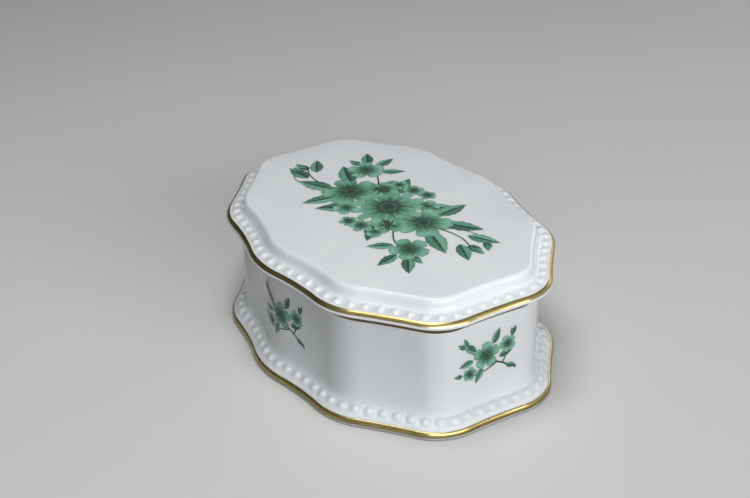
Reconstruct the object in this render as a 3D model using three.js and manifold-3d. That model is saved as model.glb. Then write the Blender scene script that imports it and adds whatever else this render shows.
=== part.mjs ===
// A lobed oval porcelain box with a lift-off lid, in millimetres, +Z up.
// The origin is on the table under the middle of the box; X runs along the box and Y across it.
import * as THREE from "three";
import { mergeVertices } from "three/addons/utils/BufferGeometryUtils.js";
import Module from "manifold-3d";

// Plan outline of the lid's edge: the corners of one quarter before they are rounded.
const END_CORNER_X = 54.4;
const END_CORNER_Y = 16.5;
const DIAGONAL_CORNER_X = 30.4;
const DIAGONAL_CORNER_Y = 36.3;
const SIDE_CORNER_Y = 41.7;
// The radius that rounds each corner, and how far each side between two corners is hollow.
const END_CORNER_RADIUS = 14.5;
const DIAGONAL_CORNER_RADIUS = 20.0;
const SIDE_CORNER_RADIUS = 28.5;
const END_HOLLOW = 0.9;
const DIAGONAL_HOLLOW = 0.7;
const LONG_HOLLOW = 1.6;
const CORNER_STEPS = 4;
const SIDE_STEPS = 4;

// Body: a vertical wall on a spreading foot, with the floor raised inside the foot ring.
const BODY_HEIGHT = 32.8;
const WALL_INSET = 3.9;
const WALL_THICKNESS = 3.2;
const RIM_ROUNDING = 0.4;
const FLOOR_THICKNESS = 3.4;
const FLOOR_FILLET = 3.0;
const UNDERSIDE_RECESS = 1.2;
const FOOT_RING_WIDTH = 4.0;
const FOOT_LIP_REACH = 1.4;
const FOOT_LIP_HEIGHT = 0.85;
const FOOT_BAND_RISE = 2.2;
const FOOT_COVE_WIDTH = 0.95;
const FOOT_COVE_HEIGHT = 3.0;

// Lid: a low domed plate with a rolled shoulder, an overhanging edge and a ring that enters the mouth.
const LID_LIP_REACH = 0.8;
const LID_LIP_HEIGHT = 0.9;
const LID_BORDER_WIDTH = 0.35;
const LID_BORDER_RISE = 0.1;
const LID_BAND_RISE = 0.35;
const LID_COVE_WIDTH = 0.9;
const LID_COVE_HEIGHT = 2.65;
const LID_SHOULDER_WIDTH = 0.95;
const LID_SHOULDER_HEIGHT = 0.9;
const LID_DOME = 1.0;
const LID_THICKNESS = 3.2;
const LID_CLEARANCE = 0.8;
const LOCATING_RING_THICKNESS = 2.2;
const LOCATING_RING_DEPTH = 3.2;
const DOME_STEPS = 4;

// Pearl beading: a row of low domes on a band of the lid and of the foot.
const LID_BEAD_RADIUS = 1.15;
const FOOT_BEAD_RADIUS = 1.4;
const BEAD_RELIEF = 0.7;
const BEAD_SINK = 0.15;
const BEAD_MARGIN = 0.1;
const BEAD_PITCH = 3.92;
const BEAD_SIDES = 6;
const BEAD_ROWS = 3;

// Gilding: the lid's and the foot's edge, and a line on the wall under the lid.
// The real film is microns thick; it is given a body that lies in a bed in the porcelain.
const GILDING_THICKNESS = 0.25;
const GILDING_GAP = 0.1;
const LID_GILDING_REACH = 1.15;
const LID_GILDING_RISE = 1.0;
const FOOT_GILDING_REACH = 0.75;
const FOOT_GILDING_RISE = 1.5;
const WALL_LINE_DROP = 1.4;
const WALL_LINE_HEIGHT = 1.4;

const CURVE_DIVISIONS = 1;

const PORCELAIN = new THREE.MeshStandardMaterial({ color: 0xe6e9ec, roughness: 0.12, metalness: 0 });
const GOLD = new THREE.MeshStandardMaterial({ color: 0xb0883a, roughness: 0.28, metalness: 1 });

// Distances behind the lid's edge; the foot's edge stands in front of it.
const LID_BEAD_BAND = 2 * (LID_BEAD_RADIUS + BEAD_MARGIN);
const FOOT_BEAD_BAND = 2 * (FOOT_BEAD_RADIUS + BEAD_MARGIN);
const FOOT_EDGE = WALL_INSET - FOOT_COVE_WIDTH - FOOT_BEAD_BAND - FOOT_GILDING_REACH;
const MOUTH_INSET = WALL_INSET + WALL_THICKNESS;
const GILDING_BED = GILDING_THICKNESS + GILDING_GAP;
const LID_LIP_TOP = BODY_HEIGHT + LID_LIP_HEIGHT;
const LID_GILDING = { reach: LID_GILDING_REACH, rise: LID_GILDING_RISE, rounded: false };
const FOOT_GILDING = { reach: FOOT_GILDING_REACH, rise: FOOT_GILDING_RISE, rounded: true };

const wasm = await Module();
wasm.setup();

// One side of the outline as a circular arc from corner a to corner b, hollow by depth.
function hollowSide(a, b, depth) {
  const chord = b.clone().sub(a);
  const outward = new THREE.Vector2(chord.y, -chord.x).normalize();
  const radius = (chord.lengthSq() / 4 + depth * depth) / (2 * depth);
  const centre = a.clone().add(b).multiplyScalar(0.5).addScaledVector(outward, radius - depth);
  return { centre, radius };
}

// Centre of the circle of this radius that touches both hollow sides inside their corner.
function cornerCentre(before, after, radius, corner) {
  const reachBefore = before.radius + radius;
  const reachAfter = after.radius + radius;
  const axis = after.centre.clone().sub(before.centre);
  const span = axis.length();
  axis.normalize();
  const along = (span * span + reachBefore * reachBefore - reachAfter * reachAfter) / (2 * span);
  const across = Math.sqrt(Math.max(reachBefore * reachBefore - along * along, 0));
  const foot = before.centre.clone().addScaledVector(axis, along);
  const normal = new THREE.Vector2(-axis.y, axis.x);
  const choices = [across, -across].map((d) => foot.clone().addScaledVector(normal, d));
  return choices.sort((p, q) => p.distanceTo(corner) - q.distanceTo(corner))[0];
}

// Points along an arc about centre from one bearing point to another, each with its outward normal.
function arcPoints(centre, radius, from, to, steps, outwardSign) {
  const start = from.clone().sub(centre).angle();
  const turn = to.clone().sub(centre).angle() - start;
  const sweep = Math.atan2(Math.sin(turn), Math.cos(turn));
  return Array.from({ length: steps }, (_, i) => {
    const angle = start + (sweep * i) / steps;
    const ray = new THREE.Vector2(Math.cos(angle), Math.sin(angle));
    const point = centre.clone().addScaledVector(ray, radius);
    return { point, normal: ray.multiplyScalar(outwardSign) };
  });
}

// The whole outline, counter-clockwise: ten rounded corners joined by ten hollow sides.
function lobedOutline() {
  const end = { x: END_CORNER_X, y: END_CORNER_Y, radius: END_CORNER_RADIUS };
  const diagonal = { x: DIAGONAL_CORNER_X, y: DIAGONAL_CORNER_Y, radius: DIAGONAL_CORNER_RADIUS };
  const side = { x: 0, y: SIDE_CORNER_Y, radius: SIDE_CORNER_RADIUS };
  const half = [
    { ...end, hollow: DIAGONAL_HOLLOW },
    { ...diagonal, hollow: LONG_HOLLOW },
    { ...side, hollow: LONG_HOLLOW },
    { ...diagonal, x: -diagonal.x, hollow: DIAGONAL_HOLLOW },
    { ...end, x: -end.x, hollow: END_HOLLOW },
  ];
  const corners = [...half, ...half.map((c) => ({ ...c, x: -c.x, y: -c.y }))];
  const count = corners.length;
  const tips = corners.map((c) => new THREE.Vector2(c.x, c.y));
  const sides = corners.map((c, i) => hollowSide(tips[i], tips[(i + 1) % count], c.hollow));
  const centres = corners.map((c, i) =>
    cornerCentre(sides[(i + count - 1) % count], sides[i], c.radius, tips[i]),
  );
  const touch = (i, s) => {
    const towards = sides[s].centre.clone().sub(centres[i]).normalize();
    return centres[i].clone().addScaledVector(towards, corners[i].radius);
  };
  return corners.flatMap((c, i) => {
    const before = touch(i, (i + count - 1) % count);
    const after = touch(i, i);
    const next = touch((i + 1) % count, i);
    return [
      ...arcPoints(centres[i], c.radius, before, after, CORNER_STEPS, 1),
      ...arcPoints(sides[i].centre, sides[i].radius, after, next, SIDE_STEPS, -1),
    ];
  });
}

const OUTLINE = lobedOutline();

// The outline moved in by inset and raised to height, then drawn towards the middle by scale.
function outlineRing({ inset, height, scale = 1 }) {
  return OUTLINE.map(({ point, normal }) => {
    const moved = point.clone().addScaledVector(normal, -inset).multiplyScalar(scale);
    return new THREE.Vector3(moved.x, moved.y, height);
  });
}

// A profile drawn as a path of (inset, height) becomes the list of rings to sweep.
function pathRings(path) {
  return path.getPoints(CURVE_DIVISIONS).map((p) => ({ inset: p.x, height: p.y }));
}

// A solid swept round the outline: rings in order from below, up the outside and back.
// With centres it closes on the middle at both ends; without, the last ring joins the first.
function sweptGeometry(rings, centres) {
  const around = OUTLINE.length;
  const points = rings.flatMap((ring) => outlineRing(ring));
  const at = (row, i) => (row % rings.length) * around + (i % around);
  const index = [];
  const strips = centres ? rings.length - 1 : rings.length;
  for (let row = 0; row < strips; row++) {
    for (let i = 0; i < around; i++) {
      index.push(at(row, i), at(row, i + 1), at(row + 1, i + 1));
      index.push(at(row, i), at(row + 1, i + 1), at(row + 1, i));
    }
  }
  if (centres) {
    const [first, last] = centres.map((z) => points.push(new THREE.Vector3(0, 0, z)) - 1);
    for (let i = 0; i < around; i++) {
      index.push(first, at(0, i + 1), at(0, i));
      index.push(at(rings.length - 1, i), at(rings.length - 1, i + 1), last);
    }
  }
  const geometry = new THREE.BufferGeometry().setFromPoints(points);
  return geometry.setIndex(index);
}

function solidFrom(geometry) {
  const bare = geometry.clone();
  bare.deleteAttribute("normal");
  bare.deleteAttribute("uv");
  const merged = mergeVertices(bare);
  const vertProperties = merged.attributes.position.array;
  const triVerts = new Uint32Array(merged.index.array);
  return new wasm.Manifold(new wasm.Mesh({ numProp: 3, vertProperties, triVerts }));
}

function geometryFrom(solid) {
  const { vertProperties, triVerts } = solid.getMesh();
  const geometry = new THREE.BufferGeometry();
  geometry.setAttribute("position", new THREE.BufferAttribute(vertProperties, 3));
  geometry.setIndex(new THREE.BufferAttribute(triVerts, 1));
  return geometry;
}

// A row of beads along the middle of a band that starts at (inset, height) and climbs by rise.
function withBeads(geometry, radius, inset, height, rise) {
  const band = 2 * (radius + BEAD_MARGIN);
  const middle = { inset: inset + band / 2, height: height + rise / 2 };
  const path = new THREE.CatmullRomCurve3(outlineRing(middle), true);
  const count = Math.round(path.getLength() / BEAD_PITCH);
  const slope = Math.atan2(rise, band);
  const up = new THREE.Vector3(0, 0, 1);
  let solid = solidFrom(geometry);
  for (let i = 0; i < count; i++) {
    const along = path.getTangentAt(i / count);
    const outward = new THREE.Vector3(along.y, -along.x, 0);
    const lean = outward.multiplyScalar(Math.sin(slope)).addScaledVector(up, Math.cos(slope));
    const bead = new THREE.SphereGeometry(radius, BEAD_SIDES, BEAD_ROWS);
    bead.rotateX(Math.PI / 2);
    bead.scale(1, 1, (BEAD_RELIEF + BEAD_SINK) / radius);
    bead.translate(0, 0, -BEAD_SINK);
    bead.applyQuaternion(new THREE.Quaternion().setFromUnitVectors(up, lean));
    const place = path.getPointAt(i / count);
    bead.translate(place.x, place.y, place.z);
    solid = solid.add(solidFrom(bead));
  }
  return geometryFrom(solid);
}

// The slope of a gilded edge up to (inset, height) or back down: straight, or rounded as a quarter ellipse.
function drawSlope(path, from, to, rounded) {
  if (!rounded) {
    path.lineTo(to.inset, to.height);
    return;
  }
  const up = to.height > from.height;
  const [low, high] = up ? [from, to] : [to, from];
  const turn = up ? [Math.PI, Math.PI / 2] : [Math.PI / 2, Math.PI];
  path.absellipse(high.inset, low.height, high.inset - low.inset, high.height - low.height, ...turn, up);
}

// The bed of an edge's gilding, sunk below the edge's own slope.
function cutGildingBed(path, edge, height, { reach, rise, rounded }) {
  const low = { inset: edge + GILDING_BED, height };
  const high = { inset: edge + reach, height: height + rise - GILDING_BED };
  path.lineTo(low.inset, low.height);
  drawSlope(path, low, high, rounded);
  path.lineTo(edge + reach, height + rise);
}

// The gilding of an edge: a skin that follows the slope, clear of its bed all round.
function edgeGilding(edge, height, { reach, rise, rounded }) {
  const foot = height + GILDING_GAP;
  const back = edge + reach - GILDING_GAP;
  const outer = [{ inset: edge, height: foot }, { inset: back, height: height + rise }];
  const inner = [
    { inset: back, height: height + rise - GILDING_THICKNESS },
    { inset: edge + GILDING_THICKNESS, height: foot },
  ];
  const path = new THREE.Path();
  path.moveTo(outer[0].inset, outer[0].height);
  drawSlope(path, ...outer, rounded);
  path.lineTo(inner[0].inset, inner[0].height);
  drawSlope(path, ...inner, rounded);
  return sweptGeometry(pathRings(path));
}

// Body, from the middle of the underside out to the foot, up the wall and down inside to the floor.
function bodyGeometry() {
  const floor = UNDERSIDE_RECESS + FLOOR_THICKNESS;
  const ringOuter = FOOT_EDGE + FOOT_LIP_REACH;
  const ringInner = ringOuter + FOOT_RING_WIDTH;
  const bandInset = FOOT_EDGE + FOOT_GILDING_REACH;
  const bandHeight = FOOT_LIP_HEIGHT + FOOT_GILDING_RISE;
  const coveInset = bandInset + FOOT_BEAD_BAND;
  const coveFoot = bandHeight + FOOT_BAND_RISE;
  const coveTop = coveFoot + FOOT_COVE_HEIGHT;
  const lineTop = BODY_HEIGHT - WALL_LINE_DROP;
  const lineFoot = lineTop - WALL_LINE_HEIGHT;
  const path = new THREE.Path();
  path.moveTo(ringInner + UNDERSIDE_RECESS, UNDERSIDE_RECESS);
  path.lineTo(ringInner, 0);
  path.lineTo(ringOuter, 0);
  path.absellipse(
    ringOuter, FOOT_LIP_HEIGHT, FOOT_LIP_REACH, FOOT_LIP_HEIGHT, -Math.PI / 2, -Math.PI, true,
  );
  cutGildingBed(path, FOOT_EDGE, FOOT_LIP_HEIGHT, FOOT_GILDING);
  path.lineTo(coveInset, coveFoot);
  path.absellipse(
    coveInset, coveTop, FOOT_COVE_WIDTH, FOOT_COVE_HEIGHT, -Math.PI / 2, 0, false,
  );
  path.lineTo(WALL_INSET, lineFoot);
  path.lineTo(WALL_INSET + GILDING_BED, lineFoot);
  path.lineTo(WALL_INSET + GILDING_BED, lineTop);
  path.lineTo(WALL_INSET, lineTop);
  path.lineTo(WALL_INSET, BODY_HEIGHT - RIM_ROUNDING);
  path.lineTo(WALL_INSET + RIM_ROUNDING, BODY_HEIGHT);
  path.lineTo(MOUTH_INSET - RIM_ROUNDING, BODY_HEIGHT);
  path.lineTo(MOUTH_INSET, BODY_HEIGHT - RIM_ROUNDING);
  path.lineTo(MOUTH_INSET, floor + FLOOR_FILLET);
  path.absarc(
    MOUTH_INSET + FLOOR_FILLET, floor + FLOOR_FILLET, FLOOR_FILLET, -Math.PI, -Math.PI / 2, false,
  );
  const plain = sweptGeometry(pathRings(path), [UNDERSIDE_RECESS, floor]);
  return withBeads(plain, FOOT_BEAD_RADIUS, bandInset, bandHeight, FOOT_BAND_RISE);
}

// Lid, from the middle of its ceiling out round the locating ring, seat and edge and over the top.
function lidGeometry() {
  const bandInset = LID_GILDING_REACH + LID_BORDER_WIDTH;
  const bandHeight = LID_LIP_TOP + LID_GILDING_RISE + LID_BORDER_RISE;
  const coveInset = bandInset + LID_BEAD_BAND;
  const coveFoot = bandHeight + LID_BAND_RISE;
  const shoulderInset = coveInset + LID_COVE_WIDTH;
  const shoulderFoot = coveFoot + LID_COVE_HEIGHT;
  const plateauInset = shoulderInset + LID_SHOULDER_WIDTH;
  const plateau = shoulderFoot + LID_SHOULDER_HEIGHT;
  const ceiling = plateau - LID_THICKNESS;
  const ringOuter = MOUTH_INSET + LID_CLEARANCE;
  const ringInner = ringOuter + LOCATING_RING_THICKNESS;
  const path = new THREE.Path();
  path.moveTo(ringInner, ceiling);
  path.lineTo(ringInner, BODY_HEIGHT - LOCATING_RING_DEPTH);
  path.lineTo(ringOuter, BODY_HEIGHT - LOCATING_RING_DEPTH);
  path.lineTo(ringOuter, BODY_HEIGHT);
  path.lineTo(LID_LIP_REACH, BODY_HEIGHT);
  path.absellipse(
    LID_LIP_REACH, LID_LIP_TOP, LID_LIP_REACH, LID_LIP_HEIGHT, -Math.PI / 2, -Math.PI, true,
  );
  cutGildingBed(path, 0, LID_LIP_TOP, LID_GILDING);
  path.lineTo(bandInset, bandHeight);
  path.lineTo(coveInset, coveFoot);
  path.absellipse(coveInset, shoulderFoot, LID_COVE_WIDTH, LID_COVE_HEIGHT, -Math.PI / 2, 0, false);
  path.absellipse(
    plateauInset, shoulderFoot, LID_SHOULDER_WIDTH, LID_SHOULDER_HEIGHT, Math.PI, Math.PI / 2, true,
  );
  const rings = pathRings(path);
  for (let step = 1; step < DOME_STEPS; step++) {
    const scale = 1 - step / DOME_STEPS;
    rings.push({ inset: plateauInset, height: plateau + LID_DOME * (1 - scale * scale), scale });
  }
  const plain = sweptGeometry(rings, [ceiling, plateau + LID_DOME]);
  return withBeads(plain, LID_BEAD_RADIUS, bandInset, bandHeight, LID_BAND_RISE);
}

// The gold line round the wall, in its groove under the rim.
function wallLineGeometry() {
  const top = BODY_HEIGHT - WALL_LINE_DROP - GILDING_GAP;
  const foot = BODY_HEIGHT - WALL_LINE_DROP - WALL_LINE_HEIGHT + GILDING_GAP;
  const back = WALL_INSET + GILDING_THICKNESS;
  const path = new THREE.Path();
  path.moveTo(back, foot);
  path.lineTo(WALL_INSET, foot);
  path.lineTo(WALL_INSET, top);
  path.lineTo(back, top);
  return sweptGeometry(pathRings(path));
}

function piece(name, geometry, material) {
  const mesh = new THREE.Mesh(geometry, material);
  mesh.name = name;
  return mesh;
}

const box = new THREE.Group();
box.add(piece("box_body", bodyGeometry(), PORCELAIN));
box.add(piece("foot_edge_gilding", edgeGilding(FOOT_EDGE, FOOT_LIP_HEIGHT, FOOT_GILDING), GOLD));
box.add(piece("wall_line_gilding", wallLineGeometry(), GOLD));

const lid = new THREE.Group();
lid.add(piece("lid", lidGeometry(), PORCELAIN));
lid.add(piece("lid_edge_gilding", edgeGilding(0, LID_LIP_TOP, LID_GILDING), GOLD));
box.add(lid);

export default box;
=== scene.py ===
"""Dresses a lobed porcelain box: glazed body and lid, beads, gilded edges and painted sprays."""

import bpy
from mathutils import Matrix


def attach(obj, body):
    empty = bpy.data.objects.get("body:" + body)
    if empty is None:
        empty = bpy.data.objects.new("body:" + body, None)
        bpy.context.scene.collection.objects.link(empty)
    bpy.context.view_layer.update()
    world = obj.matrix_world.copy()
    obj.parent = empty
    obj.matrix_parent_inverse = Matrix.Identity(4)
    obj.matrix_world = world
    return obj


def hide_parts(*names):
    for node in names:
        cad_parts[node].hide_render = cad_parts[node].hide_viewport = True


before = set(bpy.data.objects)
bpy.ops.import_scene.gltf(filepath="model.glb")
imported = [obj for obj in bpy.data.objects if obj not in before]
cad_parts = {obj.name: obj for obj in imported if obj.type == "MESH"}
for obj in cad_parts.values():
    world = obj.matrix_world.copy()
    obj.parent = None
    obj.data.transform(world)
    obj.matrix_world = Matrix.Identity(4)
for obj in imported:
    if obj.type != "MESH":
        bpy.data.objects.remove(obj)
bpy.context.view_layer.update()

import logging
import math
from bisect import bisect
from dataclasses import dataclass, field
from enum import Enum, IntEnum
from functools import cached_property
from typing import Any, Iterator, Sequence

import bmesh
import bpy
from mathutils import Matrix, Vector

MM = 0.001
TINY = 1e-6
CAST_MERGE = 1e-7
SHEET_MERGE = 1e-4
CAST_CREASE = math.radians(50)
SPRAY_CREASE = math.radians(40)
# How strongly the middle of a cove is darkened: pooled glaze and painted shade.
COVE_POOL_AND_SHADE = 0.1
NOISE_SPAN = (0.3, 0.7)
WAVE_HEIGHT = 0.0001
LOG = logging.getLogger("porcelain_box")
Colour = tuple[float, float, float, float]
Triple = tuple[float, float, float]
Pair = tuple[float, float]
Piece = bpy.types.Object
Material = bpy.types.Material
Socket = bpy.types.NodeSocket


class Body(Enum):
    """The bodies of the frame that a piece can ride on."""

    BOX = "box"
    LID = "lid"


class Slot(Enum):
    """The record's material slots."""

    PORCELAIN = "porcelain"
    GILDING = "gilding"


class Mark(Enum):
    """The values that a mesh carries on its points for its finish."""

    # Darkens the glaze in hollows between beads and in coves: pooled glaze and painted shade.
    POOL_AND_SHADE = "hollow"
    ACROSS = "across"
    TONE = "tone"
    EDGE = "edge"
    STATION = "station"


def start_fresh() -> None:
    """Leave edit mode and deselect all, so that an operator touches only what is added next."""
    if bpy.context.mode != "OBJECT":
        bpy.ops.object.mode_set(mode="OBJECT")
    bpy.ops.object.select_all(action="DESELECT")


def clamp(value: float, low: float = 0.0, high: float = 1.0) -> float:
    """Return a value held between low and high."""
    return min(max(value, low), high)


def smooth_step(value: float, low: float, high: float) -> float:
    """Ease a value from 0 at low to 1 at high.

    Args:
        value: The value to ease.
        low: Where the ease starts.
        high: Where the ease ends.

    Returns:
        A number from 0 to 1.
    """
    share = clamp((value - low) / (high - low))
    return share * share * (3.0 - 2.0 * share)


@dataclass(frozen=True)
class Station:
    """A place on the lid's edge line, in millimetres, with its outward normal."""

    point: Vector
    normal: Vector

    def moved(self, inset: float, scale: float = 1.0) -> Vector:
        """Return the place moved in by inset, then drawn towards the middle by scale."""
        return (self.point - self.normal * inset) * scale


@dataclass(frozen=True)
class Arc:
    """One arc of the outline: a rounded corner, or a hollow side between two corners."""

    centre: Vector
    radius: float
    start: float
    sweep: float
    outward: float

    def length(self, inset: float) -> float:
        """Return the arc's length after it is moved in by inset."""
        return abs(self.sweep) * (self.radius - self.outward * inset)

    def station(self, share: float) -> Station:
        """Return the station a share of the way along the arc.

        Args:
            share: The share, from 0 to 1.

        Returns:
            The station.
        """
        angle = self.start + self.sweep * share
        ray = Vector((math.cos(angle), math.sin(angle)))
        return Station(self.centre + ray * self.radius, ray * self.outward)


@dataclass(frozen=True)
class Corner:
    """A corner of the outline before it is rounded, and the radius that rounds it."""

    x: float
    y: float
    radius: float

    def turned(self, x_sign: float, y_sign: float) -> "Corner":
        """Return the corner reflected into another quarter."""
        return Corner(self.x * x_sign, self.y * y_sign, self.radius)


@dataclass(frozen=True)
class LobedOutline:
    """The plan of the lid's edge: ten rounded corners joined by ten hollow sides."""

    end: Corner = Corner(54.4, 16.5, 14.5)
    diagonal: Corner = Corner(30.4, 36.3, 20.0)
    side: Corner = Corner(0.0, 41.7, 28.5)
    end_hollow: float = 0.9
    diagonal_hollow: float = 0.7
    long_hollow: float = 1.6

    @cached_property
    def arcs(self) -> list[Arc]:
        """Return corner and side arcs in turn, counter-clockwise from the first end corner.

        Returns:
            Twenty arcs: ten corners and ten sides.
        """
        half = [
            (self.end, self.diagonal_hollow),
            (self.diagonal, self.long_hollow),
            (self.side, self.long_hollow),
            (self.diagonal.turned(-1, 1), self.diagonal_hollow),
            (self.end.turned(-1, 1), self.end_hollow),
        ]
        whole = half + [(corner.turned(-1, -1), hollow) for corner, hollow in half]
        corners = [corner for corner, _ in whole]
        tips = [Vector((corner.x, corner.y)) for corner in corners]
        count = len(whole)
        sides = [self._side(tips[i], tips[(i + 1) % count], whole[i][1]) for i in range(count)]
        middles = [
            self._corner_centre(sides[i - 1], sides[i], corners[i].radius, tips[i])
            for i in range(count)
        ]
        arcs: list[Arc] = []
        for i in range(count):
            after = (i + 1) % count
            into = self._touch(middles[i], sides[i - 1], corners[i].radius)
            out = self._touch(middles[i], sides[i], corners[i].radius)
            onward = self._touch(middles[after], sides[i], corners[after].radius)
            arcs.append(self._arc(middles[i], corners[i].radius, into, out, 1.0))
            arcs.append(self._arc(sides[i][0], sides[i][1], out, onward, -1.0))
        return arcs

    @staticmethod
    def _side(a: Vector, b: Vector, depth: float) -> tuple[Vector, float]:
        """Return the centre and radius of the hollow side from corner a to corner b.

        Args:
            a: The corner that it starts from.
            b: The corner that it runs to.
            depth: How deep its middle lies behind the chord.

        Returns:
            The centre and the radius.
        """
        chord = b - a
        outward = Vector((chord.y, -chord.x)).normalized()
        radius = (chord.length_squared / 4 + depth * depth) / (2 * depth)
        return (a + b) / 2 + outward * (radius - depth), radius

    @staticmethod
    def _corner_centre(
        before: tuple[Vector, float], after: tuple[Vector, float], radius: float, tip: Vector
    ) -> Vector:
        """Return the centre of the circle that touches both hollow sides inside their corner.

        Args:
            before: The side that runs into the corner, as centre and radius.
            after: The side that runs out of it.
            radius: The radius that rounds the corner.
            tip: The corner before it is rounded.

        Returns:
            The centre that lies nearest to the tip.
        """
        reach_before = before[1] + radius
        reach_after = after[1] + radius
        axis = after[0] - before[0]
        span = axis.length
        axis.normalize()
        along = (span**2 + reach_before**2 - reach_after**2) / (2 * span)
        across = math.sqrt(max(reach_before**2 - along**2, 0.0))
        foot = before[0] + axis * along
        normal = Vector((-axis.y, axis.x))
        choices = (foot + normal * across, foot - normal * across)
        return min(choices, key=lambda centre: (centre - tip).length)

    @staticmethod
    def _touch(centre: Vector, side: tuple[Vector, float], radius: float) -> Vector:
        """Return the point where a corner's circle touches a hollow side."""
        return centre + (side[0] - centre).normalized() * radius

    @staticmethod
    def _arc(centre: Vector, radius: float, a: Vector, b: Vector, outward: float) -> Arc:
        """Return the arc about a centre from point a to point b, the short way round.

        Args:
            centre: The arc's centre.
            radius: The arc's radius.
            a: Where it starts.
            b: Where it ends.
            outward: 1 where the outline bulges, -1 where it is hollow.

        Returns:
            The arc.
        """
        start = math.atan2(a.y - centre.y, a.x - centre.x)
        turn = math.atan2(b.y - centre.y, b.x - centre.x) - start
        return Arc(centre, radius, start, math.atan2(math.sin(turn), math.cos(turn)), outward)

    def length(self, inset: float) -> float:
        """Return the length of the whole outline after it is moved in by inset."""
        return sum(arc.length(inset) for arc in self.arcs)

    def middle_of(self, index: int, inset: float) -> float:
        """Return how far along the outline the middle of one arc is."""
        before = sum(arc.length(inset) for arc in self.arcs[:index])
        return before + self.arcs[index].length(inset) / 2

    def station(self, along: float, inset: float) -> Station:
        """Return the station a distance along the outline.

        Args:
            along: Distance counter-clockwise from the start of the first end corner.
            inset: How far in the line that the distance is measured on lies.

        Returns:
            The station on the lid's edge line.
        """
        rest = along % self.length(inset)
        for arc in self.arcs:
            length = arc.length(inset)
            if rest <= length:
                return arc.station(rest / length)
            rest -= length
        return self.arcs[0].station(0.0)


@dataclass(frozen=True)
class BeadRow:
    """A row of low pearl beads along the middle of a sloping band, in millimetres.

    A bead's breadth is a share of the pitch and its reach a multiple of its radius. From the share
    turn of its width on, the band curves up by climb.
    """

    count: int
    rise: float
    radius: float
    relief: float
    breadth: float
    phase: float = 0.0
    margin: float = 0.1
    samples: int = 12
    steps: int = 16
    reach: float = 1.24
    fullness: float = 1.5
    turn: float = 0.7
    climb: float = 0.0

    @property
    def band(self) -> float:
        """Return the width of the band that the row stands on."""
        return 2 * (self.radius + self.margin)

    @property
    def end_slope(self) -> float:
        """Return the band's slope at its inner edge."""
        return (self.rise + 2 * self.climb / (1.0 - self.turn)) / self.band

    @property
    def lean(self) -> Vector:
        """Return the band's normal as (outward, up)."""
        slope = math.atan2(self.rise, self.band)
        return Vector((math.sin(slope), math.cos(slope)))

    def stations(self, outline: LobedOutline, inset: float) -> list[Station]:
        """Return evenly spaced stations, a whole number to each bead.

        Args:
            outline: The outline that the row follows.
            inset: How far in the row's middle lies.

        Returns:
            One station for each column of points of the casting.
        """
        middle = outline.middle_of(len(outline.arcs) - 1, inset)
        pitch = outline.length(inset) / self.count
        total = self.count * self.samples
        return [
            outline.station(middle + (i / self.samples + self.phase) * pitch, inset)
            for i in range(total)
        ]

    def swell(self, index: int, across: float) -> float:
        """Return how far the surface stands above the band at one point.

        Args:
            index: The station's number.
            across: Distance from the row's middle line, square to it.

        Returns:
            Height above the band in millimetres.
        """
        step = index % self.samples
        if step > self.samples / 2:
            step -= self.samples
        along = step / self.samples / self.breadth
        share = 1.0 - along * along - (across / (self.reach * self.radius)) ** 2
        return self.relief * max(share, 0.0) ** self.fullness


@dataclass(frozen=True)
class Spot:
    """One ring of a profile: distance behind the lid's edge, height, and what happens there."""

    inset: float
    height: float
    scale: float = 1.0
    bead_across: float | None = None
    # How much this ring is darkened: pooled glaze and painted shade.
    hollow: float = 0.0


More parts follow.
